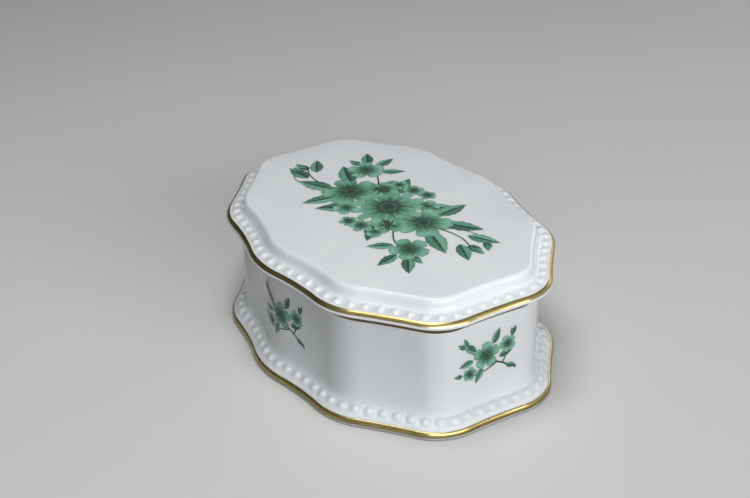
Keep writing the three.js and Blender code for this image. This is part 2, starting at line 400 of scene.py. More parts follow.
@dataclass
class Profile:
    """A section drawn point by point, from which a casting is grown."""

    spots: list[Spot] = field(default_factory=list)

    @property
    def last(self) -> Spot:
        """Return the point drawn last."""
        return self.spots[-1]

    def spread(self, inset: float, height: float, first: float, steps: int) -> None:
        """Draw a flat floor from near the middle out to the outline at an inset."""
        for i in range(steps + 1):
            self.spots.append(Spot(inset, height, first + (1.0 - first) * i / steps))

    def line(self, inset: float, height: float, steps: int = 1) -> None:
        """Draw a straight line to a point.

        Args:
            inset: The point's inset.
            height: The point's height.
            steps: The number of points.
        """
        a = self.last
        for i in range(1, steps + 1):
            share = i / steps
            across = a.inset + (inset - a.inset) * share
            self.spots.append(Spot(across, a.height + (height - a.height) * share))

    def bow(self, control: Pair, end: Pair, steps: int, hollow: float = 0.0) -> None:
        """Draw a smooth bow to a point, drawn towards a control point.

        Args:
            control: The control point, as (inset, height).
            end: Where it ends, as (inset, height).
            steps: The number of points.
            hollow: How much its middle is darkened, as pooled glaze and painted shade.
        """
        a = self.last
        for i in range(1, steps + 1):
            t = i / steps
            weights = ((1 - t) ** 2, 2 * t * (1 - t), t * t)
            inset = weights[0] * a.inset + weights[1] * control[0] + weights[2] * end[0]
            height = weights[0] * a.height + weights[1] * control[1] + weights[2] * end[1]
            self.spots.append(Spot(inset, height, hollow=hollow * 4 * t * (1 - t)))

    def quarter(self, end: Pair, flat_first: bool, steps: int) -> None:
        """Draw a quarter of an ellipse to a point.

        Args:
            end: Where it ends, as (inset, height).
            flat_first: Whether it leaves level and ends upright, or the other way round.
            steps: The number of points.
        """
        a = self.last
        for i in range(1, steps + 1):
            angle = i / steps * math.pi / 2
            early, late = math.sin(angle), 1.0 - math.cos(angle)
            across, up = (early, late) if flat_first else (late, early)
            self.spots.append(
                Spot(a.inset + (end[0] - a.inset) * across, a.height + (end[1] - a.height) * up)
            )

    def beaded(self, row: BeadRow) -> None:
        """Draw the band that carries a row of beads.

        Args:
            row: The beads.
        """
        a = self.last
        width = math.hypot(row.band, row.rise)
        for i in range(1, row.steps + 1):
            share = i / row.steps
            across = (share - 0.5) * width if i < row.steps else None
            lift = row.climb * max((share - row.turn) / (1.0 - row.turn), 0.0) ** 2
            height = a.height + row.rise * share + lift
            self.spots.append(Spot(a.inset + row.band * share, height, bead_across=across))

    def close_on_middle(self, rise: float, steps: int, last: float) -> None:
        """Draw a shallow dome from the last point to near the middle.

        Args:
            rise: Height of the dome's middle over its edge.
            steps: The number of points.
            last: The scale of the last ring.
        """
        a = self.last
        for i in range(1, steps + 1):
            scale = 1.0 - (1.0 - last) * i / steps
            self.spots.append(Spot(a.inset, a.height + rise * (1.0 - scale * scale), scale))


class Casting:
    """A form grown ring by ring round the outline, each ring extruded from the one before."""

    def __init__(self, name: str, stations: Sequence[Station], capped: bool) -> None:
        """Add the first ring.

        Args:
            name: The piece's name.
            stations: The columns of points round the outline.
            capped: Whether the first ring is closed on its middle.
        """
        self.stations = stations
        self.row: BeadRow | None = None
        start_fresh()
        bpy.ops.mesh.primitive_circle_add(
            vertices=len(stations), radius=1.0, fill_type="TRIFAN" if capped else "NOTHING"
        )
        self.piece = bpy.context.active_object
        self.piece.name = name
        self.piece.data.name = name
        bpy.ops.object.mode_set(mode="EDIT")
        bpy.ops.mesh.select_mode(type="EDGE")
        mesh = bmesh.from_edit_mesh(self.piece.data)
        number = mesh.verts.layers.int.new(Mark.STATION.value)
        mesh.verts.layers.float.new(Mark.POOL_AND_SHADE.value)
        mesh.verts.layers.float.new(Mark.ACROSS.value)
        for i, v in enumerate(filter(self._on_rim, mesh.verts)):
            v[number] = i
        for edge in mesh.edges:
            edge.select_set(all(self._on_rim(v) for v in edge.verts))
        mesh.select_flush_mode()
        self.middle = [v.index for v in mesh.verts if not self._on_rim(v)]
        bmesh.update_edit_mesh(self.piece.data)

    @staticmethod
    def _on_rim(vert: bmesh.types.BMVert) -> bool:
        """Tell a point of the new circle, whose radius is 1, from its middle."""
        return vert.co.length > 0.5

    def place(self, spot: Spot, across: float = 0.0) -> None:
        """Move the selected ring to its place in the profile.

        Args:
            spot: The ring's place.
            across: The share of a band's width where the ring lies.
        """
        mesh = bmesh.from_edit_mesh(self.piece.data)
        number = mesh.verts.layers.int[Mark.STATION.value]
        hollow = mesh.verts.layers.float[Mark.POOL_AND_SHADE.value]
        share = mesh.verts.layers.float[Mark.ACROSS.value]
        for v in mesh.verts:
            if not v.select:
                continue
            # depth darkens the glaze, most between the beads: pooled glaze and painted shade.
            inset, height, depth = spot.inset, spot.height, spot.hollow
            if self.row and spot.bead_across is not None:
                swell = self.row.swell(v[number], spot.bead_across)
                lean = self.row.lean
                inset -= lean.x * swell
                height += lean.y * swell
                depth = 1.0 - swell / self.row.relief
            flat = self.stations[v[number]].moved(inset, spot.scale)
            v.co = Vector((flat.x, flat.y, height)) * MM
            v[hollow] = depth
            v[share] = across
        bmesh.update_edit_mesh(self.piece.data)

    def grow(self, spot: Spot, across: float = 0.0) -> None:
        """Extrude the last ring and move the new one to its place."""
        bpy.ops.mesh.extrude_edges_move()
        self.place(spot, across)

    def close_first(self, height: float) -> None:
        """Bring the middle of a capped first ring to its height.

        Args:
            height: The height in millimetres.
        """
        mesh = bmesh.from_edit_mesh(self.piece.data)
        mesh.verts.ensure_lookup_table()
        for index in self.middle:
            mesh.verts[index].co = Vector((0.0, 0.0, height)) * MM
        bmesh.update_edit_mesh(self.piece.data)

    def close_last(self, height: float) -> None:
        """Extrude the last ring once more and merge it in the middle.

        Args:
            height: The middle's height in millimetres.
        """
        bpy.ops.mesh.extrude_edges_move()
        mesh = bmesh.from_edit_mesh(self.piece.data)
        for v in mesh.verts:
            if v.select:
                v.co.z = height * MM
        bmesh.update_edit_mesh(self.piece.data)
        bpy.ops.mesh.merge(type="CENTER")

    def finish(self) -> Piece:
        """Merge doubles, turn the faces outwards and smooth the form.

        Returns:
            The finished piece.
        """
        bpy.ops.mesh.select_mode(type="VERT")
        bpy.ops.mesh.select_all(action="SELECT")
        bpy.ops.mesh.remove_doubles(threshold=CAST_MERGE)
        bpy.ops.mesh.select_all(action="SELECT")
        bpy.ops.mesh.normals_make_consistent(inside=False)
        bpy.ops.object.mode_set(mode="OBJECT")
        bpy.ops.object.shade_smooth_by_angle(angle=CAST_CREASE)
        return self.piece


def cast_solid(
    name: str, stations: Sequence[Station], profile: Profile, row: BeadRow, top: float
) -> Piece:
    """Grow a closed solid whose profile starts and ends at the middle.

    Args:
        name: The piece's name.
        stations: The columns of points round the outline.
        profile: The section, from the middle of the underside over the outside and back.
        row: The beads that it carries.
        top: Height at which the last ring closes.

    Returns:
        The finished piece.
    """
    casting = Casting(name, stations, capped=True)
    casting.row = row
    casting.place(profile.spots[0])
    casting.close_first(profile.spots[0].height)
    for spot in profile.spots[1:]:
        casting.grow(spot)
    casting.close_last(top)
    return casting.finish()


def cast_band(
    name: str, stations: Sequence[Station], face: Sequence[Spot], back: Sequence[Spot]
) -> Piece:
    """Grow a thin band round the outline.

    Args:
        name: The piece's name.
        stations: The columns of points round the outline.
        face: The section of its outer face, from its lower edge to its upper edge.
        back: The section of its inner face, from its upper edge to its lower edge.

    Returns:
        The finished piece.
    """
    casting = Casting(name, stations, capped=False)
    casting.place(face[0], 0.0)
    for i, spot in enumerate(face[1:], 1):
        casting.grow(spot, i / (len(face) - 1))
    for i, spot in enumerate(back):
        casting.grow(spot, 1.0 - i / (len(back) - 1))
    casting.grow(face[0], 0.0)
    return casting.finish()


class Board:
    """The node tree of one material or group, with short ways to add and join nodes."""

    def __init__(self, tree: bpy.types.NodeTree) -> None:
        """Keep the tree, emptied."""
        self.tree = tree
        tree.nodes.clear()

    def add(
        self, kind: str, inputs: dict[Any, Any] | None = None, **settings: Any
    ) -> bpy.types.Node:
        """Add a node, set it up and join its inputs.

        Args:
            kind: The node's type.
            inputs: For each input, by name or number, a value or the socket that feeds it.
            **settings: Properties of the node.

        Returns:
            The new node.
        """
        node = self.tree.nodes.new(kind)
        for key, value in settings.items():
            setattr(node, key, value)
        for key, value in (inputs or {}).items():
            if isinstance(value, Socket):
                self.tree.links.new(value, node.inputs[key])
            else:
                node.inputs[key].default_value = value
        return node

    def group(self, tree: bpy.types.NodeTree, inputs: dict[str, Any]) -> Socket:
        """Place a shared effect with its own values and return its result's socket."""
        return self.add("ShaderNodeGroup", inputs, node_tree=tree).outputs[0]

    def mix(self, factor: Any, a: Any, b: Any) -> Socket:
        """Mix two colours and return the result's socket."""
        return self.add("ShaderNodeMix", {0: factor, 6: a, 7: b}, data_type="RGBA").outputs[2]

    def math(self, operation: str, a: Any, b: Any = 0.0) -> Socket:
        """Add a sum of two values and return its socket."""
        return self.add("ShaderNodeMath", {0: a, 1: b}, operation=operation).outputs[0]

    def ranged(self, value: Any, low: float, high: float, to_low: float, to_high: float) -> Socket:
        """Map a value from one range to another, held at its ends."""
        node = self.add("ShaderNodeMapRange", {0: value, 1: low, 2: high, 3: to_low, 4: to_high})
        return node.outputs[0]

    def noise(self, vector: Any, scale: Any, detail: float = 2.0) -> Socket:
        """Add a soft noise and return its value."""
        node = self.add("ShaderNodeTexNoise", {"Vector": vector, "Scale": scale, "Detail": detail})
        return node.outputs[0]

    def varied(self, vector: Any, scale: float, ends: Pair, detail: float = 2.0) -> Socket:
        """Return a value that wanders over the surface between two ends."""
        return self.ranged(self.noise(vector, scale, detail), *NOISE_SPAN, *ends)

    def object_place(self) -> Socket:
        """Return the place on the piece, in metres."""
        return self.add("ShaderNodeTexCoord").outputs["Object"]

    def mark(self, mark: Mark) -> Socket:
        """Return a value that the mesh carries."""
        return self.add("ShaderNodeAttribute", attribute_name=mark.value).outputs["Fac"]

    def bump(self, height: Any, strength: float) -> Socket:
        """Turn a height into a normal."""
        values = {"Height": height, "Strength": strength, "Distance": WAVE_HEIGHT}
        return self.add("ShaderNodeBump", values).outputs["Normal"]

    def looked_at(self) -> Socket:
        """Return 1 for what is seen, directly or in a shiny surface, and 0 for stray light.

        Returns:
            The value's socket.
        """
        rays = self.add("ShaderNodeLightPath").outputs
        mirrored = self.math("MAXIMUM", rays["Is Glossy Ray"], rays["Is Transmission Ray"])
        return self.math("MAXIMUM", rays["Is Camera Ray"], mirrored)

    def surface(self, inputs: dict[str, Any]) -> None:
        """Add the shader and the material's output."""
        shader = self.add("ShaderNodeBsdfPrincipled", inputs)
        self.add("ShaderNodeOutputMaterial", {"Surface": shader.outputs[0]})


def new_material(name: str) -> tuple[Material, Board]:
    """Add an empty node material.

    Args:
        name: The material's name.

    Returns:
        The material and the board of its nodes.
    """
    material = bpy.data.materials.new(name)
    material.use_nodes = True
    return material, Board(material.node_tree)


@dataclass(frozen=True)
class SharedEffects:
    """Effects that several finishes use, each a node group built once."""

    fine_scale: float = 6.0
    mask_edge: Pair = (-0.04, 0.06)

    @cached_property
    def uneven(self) -> bpy.types.NodeTree:
        """Return the slow waves and fine ripple of a surface finished by hand, as a height.

        Returns:
            The node group.
        """
        board = self._group("uneven_surface", ("Scale", "Ripple"), "Height")
        given = board.add("NodeGroupInput").outputs
        slow = board.noise(given["Vector"], given["Scale"], 1.0)
        fine_scale = board.math("MULTIPLY", given["Scale"], self.fine_scale)
        fine = board.noise(given["Vector"], fine_scale, 3.0)
        height = board.math("ADD", slow, board.math("MULTIPLY", fine, given["Ripple"]))
        board.add("NodeGroupOutput", {"Height": height})
        return board.tree

    @cached_property
    def thin_edges(self) -> bpy.types.NodeTree:
        """Return where a thin painted film is worn or runs out near its edges, as a mask.

        Returns:
            The node group.
        """
        board = self._group("thin_edges", ("Scale", "Edge", "Reach"), "Mask")
        given = board.add("NodeGroupInput").outputs
        patch = board.noise(given["Vector"], given["Scale"], 3.0)
        limit = board.math("SUBTRACT", 1.0, board.math("MULTIPLY", patch, given["Reach"]))
        over = board.math("SUBTRACT", given["Edge"], limit)
        board.add("NodeGroupOutput", {"Mask": board.ranged(over, *self.mask_edge, 0.0, 1.0)})
        return board.tree

    def waves(
        self, board: Board, place: Socket, scale: float, ripple: float, strength: float
    ) -> Socket:
        """Return the normal of a surface finished by hand.

        Args:
            board: The board of the material.
            place: The place on the piece.
            scale: How many waves there are to a metre.
            ripple: The share of the fine ripple in them.
            strength: How strongly they show.

        Returns:
            The normal's socket.
        """
        values = {"Vector": place, "Scale": scale, "Ripple": ripple}
        return board.bump(board.group(self.uneven, values), strength)

    def worn(
        self, board: Board, place: Socket, edge: Socket, scale: float, reach: float
    ) -> Socket:
        """Return where a thin film is worn away.

        Args:
            board: The board of the material.
            place: The place on the piece.
            edge: How near the film's edge the place is, from 0 to 1.
            scale: How many patches there are to a metre.
            reach: How far from the edge the wear can reach.

        Returns:
            The mask's socket.
        """
        values = {"Vector": place, "Scale": scale, "Edge": edge, "Reach": reach}
        return board.group(self.thin_edges, values)

    @staticmethod
    def _group(name: str, values: Sequence[str], result: str) -> Board:
        """Start a node group that takes a place and some values and puts out one value.

        Args:
            name: The group's name.
            values: The names of the values that it takes.
            result: The name of the value that it puts out.

        Returns:
            The board of its nodes.
        """
        tree = bpy.data.node_groups.new(name, "ShaderNodeTree")
        tree.interface.new_socket("Vector", in_out="INPUT", socket_type="NodeSocketVector")
        for value in values:
            tree.interface.new_socket(value, in_out="INPUT", socket_type="NodeSocketFloat")
        tree.interface.new_socket(result, in_out="OUTPUT", socket_type="NodeSocketFloat")
        return Board(tree)


@dataclass(frozen=True)
class Glaze:
    """Clear gloss glaze over cool white porcelain, darker and cooler in the hollows between beads
    and in the coves, partly pooled glaze and partly painted shade; the ring that it stands on is
    left bare.

    The waves hold scale, ripple and strength.
    """

    effects: SharedEffects
    white: Colour = (0.80, 0.82, 0.83, 1.0)
    cool: Colour = (0.76, 0.79, 0.81, 1.0)
    # Colour of pooled glaze and painted shade in the hollows.
    pooled_and_shaded: Colour = (0.60, 0.64, 0.66, 1.0)
    bare: Colour = (0.72, 0.69, 0.64, 1.0)
    fleck: Colour = (0.42, 0.39, 0.35, 1.0)
    cloud_scale: float = 42.0
    cloud_span: Pair = (0.35, 0.65)
    pool_and_shade_share: Pair = (0.35, 0.5)
    fleck_scale: float = 620.0
    fleck_span: Pair = (0.80, 0.83)
    fleck_share: float = 0.3
    grain_scale: float = 900.0
    grain_height: float = 0.0003
    bare_heights: Pair = (0.00016, 0.00026)
    bare_dullness: float = 0.4
    gloss_scale: float = 130.0
    gloss: Pair = (0.16, 0.24)
    waves: Triple = (210.0, 0.12, 0.12)

    def material(self) -> Material:
        """Return the finished material.

        Returns:
            The material.
        """
        material, board = new_material("glazed_porcelain")
        place = board.object_place()
        cloud = board.ranged(board.noise(place, self.cloud_scale), *self.cloud_span, 0.0, 1.0)
        colour = board.mix(cloud, self.white, self.cool)
        # Pooled glaze and painted shade: a darker, cooler colour where the mesh marks a hollow.
        share = board.ranged(cloud, 0.0, 1.0, *self.pool_and_shade_share)
        pool_and_shade = board.math("MULTIPLY", board.mark(Mark.POOL_AND_SHADE), share)
        colour = board.mix(pool_and_shade, colour, self.pooled_and_shaded)
        specks = board.noise(place, self.fleck_scale, 1.0)
        fleck = board.ranged(specks, *self.fleck_span, 0.0, self.fleck_share)
        colour = board.mix(fleck, colour, self.fleck)
        height = board.add("ShaderNodeSeparateXYZ", {0: place}).outputs["Z"]
        grain = board.math("MULTIPLY", board.noise(place, self.grain_scale), self.grain_height)
        bare = board.ranged(board.math("ADD", height, grain), *self.bare_heights, 1.0, 0.0)
        colour = board.mix(bare, colour, self.bare)
        gloss = board.varied(place, self.gloss_scale, self.gloss)
        dull = board.math("MULTIPLY", bare, self.bare_dullness)
        board.surface(
            {
                "Base Color": colour,
                "Roughness": board.math("ADD", gloss, dull),
                "Coat Weight": board.math("SUBTRACT", 1.0, bare),
                "Subsurface Weight": 0.8,
                "Subsurface Radius": (1.0, 0.97, 0.94),
                "Subsurface Scale": 0.0011,
                "Coat Roughness": 0.03,
                "Coat IOR": 1.26,
                "Specular IOR Level": 0.12,
                "Normal": self.effects.waves(board, place, *self.waves),
            }
        )
        return material


@dataclass(frozen=True)
class Gilding:
    """Burnished gold, brushed on by hand: browner towards one side of the band, partly thin gold
    and partly painted shade and painted dark reflection; worn along its edges.

    The gold thins, and painted shade and dark reflection deepen, across the band from thick to
    thin. The wear holds scale and reach, and the waves hold scale, ripple and strength.
    """

    effects: SharedEffects
    name: str
    thick: float
    thin: float
    bright: Colour = (0.57, 0.46, 0.21, 1.0)
    deep: Colour = (0.42, 0.33, 0.12, 1.0)
    # Brown of thin gold, also laid in as painted shade and painted dark reflection.
    brown_shade: Colour = (0.24, 0.19, 0.07, 1.0)
    ground: Colour = (0.74, 0.74, 0.70, 1.0)
    wear: Pair = (420.0, 0.14)
    cloud_scale: float = 160.0
    brown_shade_share: Pair = (0.7, 1.0)
    gloss_scale: float = 700.0
    gloss: Pair = (0.18, 0.28)
    waves: Triple = (260.0, 0.12, 0.04)

    def material(self) -> Material:
        """Return the finished material.

        Returns:
            The material.
        """
        material, board = new_material(self.name)
        place = board.object_place()
        across = board.mark(Mark.ACROSS)
        edge = board.math("ABSOLUTE", board.ranged(across, 0.0, 1.0, -1.0, 1.0))
        worn = self.effects.worn(board, place, edge, *self.wear)
        cloud = board.varied(place, self.cloud_scale, (0.0, 1.0), 3.0)
        colour = board.mix(cloud, self.bright, self.deep)
        # Brown across the band: thin gold, and painted shade and painted dark reflection.
        thin_and_shaded = board.ranged(across, self.thick, self.thin, 0.0, 1.0)
        share = board.ranged(cloud, 0.0, 1.0, *self.brown_shade_share)
        colour = board.mix(board.math("MULTIPLY", thin_and_shaded, share), colour, self.brown_shade)
        colour = board.mix(worn, colour, self.ground)
        board.surface(
            {
                "Base Color": colour,
                "Metallic": board.math("SUBTRACT", 1.0, worn),
                "Roughness": board.varied(place, self.gloss_scale, self.gloss, 3.0),
                "Normal": self.effects.waves(board, place, *self.waves),
            }
        )
        return material


@dataclass(frozen=True)
class Enamel:
    """Green overglaze enamel, darker where the brush laid it thick.

    The wear holds scale and reach, and the waves hold scale, ripple and strength.
    """

    effects: SharedEffects
    stops: tuple[tuple[float, Colour], ...] = (
        (0.0, (0.032, 0.034, 0.029, 1.0)),
        (0.28, (0.030, 0.078, 0.056, 1.0)),
        (0.60, (0.098, 0.275, 0.182, 1.0)),
        (1.0, (0.275, 0.545, 0.430, 1.0)),
    )
    thin: Colour = (0.40, 0.57, 0.49, 1.0)
    streak_scale: float = 1500.0
    streak_span: Pair = (0.25, 0.75)
    streak: Pair = (-0.10, 0.10)
    wear: Pair = (1100.0, 0.16)
    worn_share: float = 0.35
    gloss_scale: float = 800.0
    gloss: Pair = (0.22, 0.36)
    waves: Triple = (1200.0, 0.3, 0.15)

    def material(self) -> Material:
        """Return the finished material.

        Returns:
            The material.
        """
        material, board = new_material("green_enamel")
        place = board.object_place()
        brushed = board.noise(place, self.streak_scale, 3.0)
        streak = board.ranged(brushed, *self.streak_span, *self.streak)
        tone = board.math("ADD", board.mark(Mark.TONE), streak)
        ramp = board.add("ShaderNodeValToRGB", {0: tone})
        points = ramp.color_ramp.elements
        while len(points) < len(self.stops):
            points.new(0.5)
        for point, (position, colour) in zip(points, self.stops):
            point.position = position
            point.color = colour
        edge = board.mark(Mark.EDGE)
        worn = self.effects.worn(board, place, edge, *self.wear)
        worn = board.math("MULTIPLY", worn, self.worn_share)
        board.surface(
            {
                "Base Color": board.mix(worn, ramp.outputs["Color"], self.thin),
                "Roughness": board.varied(place, self.gloss_scale, self.gloss),
                "Coat Weight": 0.12,
                "Coat Roughness": 0.08,
                "Specular IOR Level": 0.15,
                "Normal": self.effects.waves(board, place, *self.waves),
            }
        )
        return material


class EdgeForm(Enum):
    """How a gilded edge is shaped between its lower and its upper end."""

    ROUNDED = "rounded"
    FLARED = "flared"


@dataclass(frozen=True)
class EdgeGilding:
    """The gold band on the edge of the lid or the foot."""

    name: str
    node: str
    form: EdgeForm
    edge: float
    foot: float
    reach: float
    rise: float
    film: float = 0.06
    flare: float = -0.2
    steps: int = 10

    def draw(self, profile: Profile, depth: float) -> None:
        """Draw the edge's slope upwards from the last point, a depth below the gold's face.

        Args:
            profile: The section that it is added to.
            depth: The depth in millimetres.
        """
        top = (self.edge + self.reach, self.foot + self.rise - depth)
        if self.form is EdgeForm.ROUNDED:
            profile.quarter(top, False, self.steps)
            return
        last = profile.last
        middle = ((last.inset + top[0]) / 2, (last.height + top[1]) / 2)
        profile.bow((middle[0] + self.flare, middle[1] - self.flare), top, self.steps)

    def bed(self, profile: Profile) -> None:
        """Draw the porcelain under the gold, a little below the gold's face.

        Args:
            profile: The section that it is added to.
        """
        depth = self.film / 2
        profile.line(self.edge + depth, self.foot)
        self.draw(profile, depth)
        profile.line(self.edge + self.reach, self.foot + self.rise)

    def build(self, stations: Sequence[Station]) -> Piece:
        """Return the band as a finished piece.

        Args:
            stations: The columns of points of the casting that it lies on.

        Returns:
            The gold band.
        """
        face = Profile([Spot(self.edge, self.foot)])
        self.draw(face, 0.0)
        back = Profile([Spot(self.edge + self.film, self.foot)])
        self.draw(back, self.film)
        return cast_band(self.name, stations, face.spots, back.spots[::-1])


@dataclass
class BoxBody:
    """The porcelain body: floor, lobed wall and spreading beaded foot, with its two gold lines."""

    outline: LobedOutline
    height: float = 32.8
    wall_inset: float = 3.9
    wall: float = 3.2
    rim_rounding: float = 0.4
    floor: float = 3.4
    floor_fillet: float = 3.0
    recess: float = 1.2
    ring_width: float = 4.0
    ring_lean: float = 0.5
    ring_turn: float = 0.3
    ring_edge: float = 0.25
    lip_reach: float = 1.4
    lip_height: float = 0.85
    cove_width: float = 0.62
    cove_height: float = 3.4
    border_width: float = 0.8
    border_rise: float = 0.7
    gold_reach: float = 0.75
    gold_rise: float = 1.5
    line_drop: float = 1.4
    line_height: float = 1.7
    line_film: float = 0.03
    beads: BeadRow = BeadRow(count=76, rise=1.5, radius=1.15, relief=0.44, breadth=0.40)

    @property
    def edge(self) -> float:
        """Return the inset of the foot's edge, which stands in front of the lid's."""
        row = self.wall_inset - self.cove_width - self.beads.band
        return row - self.border_width - self.gold_reach

    @property
    def mouth(self) -> float:
        """Return the inset of the wall's inner face."""
        return self.wall_inset + self.wall

    @property
    def row_inset(self) -> float:
        """Return the inset of the middle of the bead row."""
        return self.edge + self.gold_reach + self.border_width + self.beads.band / 2

    @cached_property
    def stations(self) -> list[Station]:
        """Return the columns of points of the casting."""
        return self.beads.stations(self.outline, self.row_inset)

    @property
    def gilding(self) -> EdgeGilding:
        """Return the gold band of the foot's edge.

        Returns:
            The band.
        """
        return EdgeGilding(
            "foot_gold_band", "foot_edge_gilding", EdgeForm.ROUNDED,
            self.edge, self.lip_height, self.gold_reach, self.gold_rise,
        )

    def profile(self) -> Profile:
        """Draw the section from the middle of the underside, up the outside, back to the floor.

        Returns:
            The section.
        """
        ring_outer = self.edge + self.lip_reach
        ring_inner = ring_outer + self.ring_width
        top = self.recess + self.floor
        section = Profile()
        section.spread(ring_inner + self.recess, self.recess, first=0.15, steps=5)
        section.bow(
            (ring_inner + self.ring_lean, self.recess),
            (ring_inner + self.ring_turn, self.ring_edge),
            steps=4,
        )
        under = ring_inner + self.ring_turn / 2
        section.bow((under, 0.0), (ring_inner - self.ring_turn, 0.0), steps=3)
        section.line(ring_outer, 0.0, steps=4)
        section.quarter((self.edge, self.lip_height), flat_first=True, steps=8)
        self.gilding.bed(section)
        border = section.last
        section.line(border.inset + self.border_width, border.height + self.border_rise, steps=4)
        section.beaded(self.beads)
        cove = section.last
        section.bow(
            (self.wall_inset, cove.height + self.beads.end_slope * self.cove_width),
            (self.wall_inset, cove.height + self.cove_height),
            steps=10,
            hollow=COVE_POOL_AND_SHADE,
        )
        rim = self.height - self.rim_rounding
        section.line(self.wall_inset, rim, steps=8)
        outer = self.wall_inset + self.rim_rounding
        section.quarter((outer, self.height), flat_first=False, steps=4)
        section.line(self.mouth - self.rim_rounding, self.height, steps=2)
        section.quarter((self.mouth, rim), flat_first=True, steps=4)
        section.line(self.mouth, top + self.floor_fillet, steps=4)
        section.quarter((self.mouth + self.floor_fillet, top), flat_first=False, steps=6)
        section.close_on_middle(0.0, steps=5, last=0.15)
        return section

    def build(self) -> list[Piece]:
        """Return the body, its foot's gold band and the gold line under the lid.

        Returns:
            The three pieces, in that order.
        """
        body = cast_solid(
            "porcelain_body", self.stations, self.profile(), self.beads, self.recess + self.floor
        )
        high = self.height - self.line_drop
        low = high - self.line_height
        face = Profile([Spot(self.wall_inset, low)])
        face.line(self.wall_inset - self.line_film, low + self.line_film)
        face.line(self.wall_inset - self.line_film, high - self.line_film, steps=6)
        face.line(self.wall_inset, high)
        inner = self.wall_inset + self.line_film
        back = [Spot(inner, high), Spot(inner, low)]
        line = cast_band("wall_gold_line", self.stations, face.spots, back)
        return [body, self.gilding.build(self.stations), line]

    def dress(
        self, pieces: Sequence[Piece], glaze: Material, gold: Material, shaded_line_gold: Material
    ) -> None:
        """Give each piece its finish and body, and hide the CAD node it stands for.

        Args:
            pieces: The body, the foot's gold band and the gold line.
            glaze: The body's finish.
            gold: The band's finish.
            shaded_line_gold: The line's finish, a gold darkened with painted shade.
        """
        dress_piece(pieces[0], glaze, Body.BOX, Slot.PORCELAIN, "box_body")
        dress_piece(pieces[1], gold, Body.BOX, Slot.GILDING, self.gilding.node)
        dress_piece(pieces[2], shaded_line_gold, Body.BOX, Slot.GILDING, "wall_line_gilding")


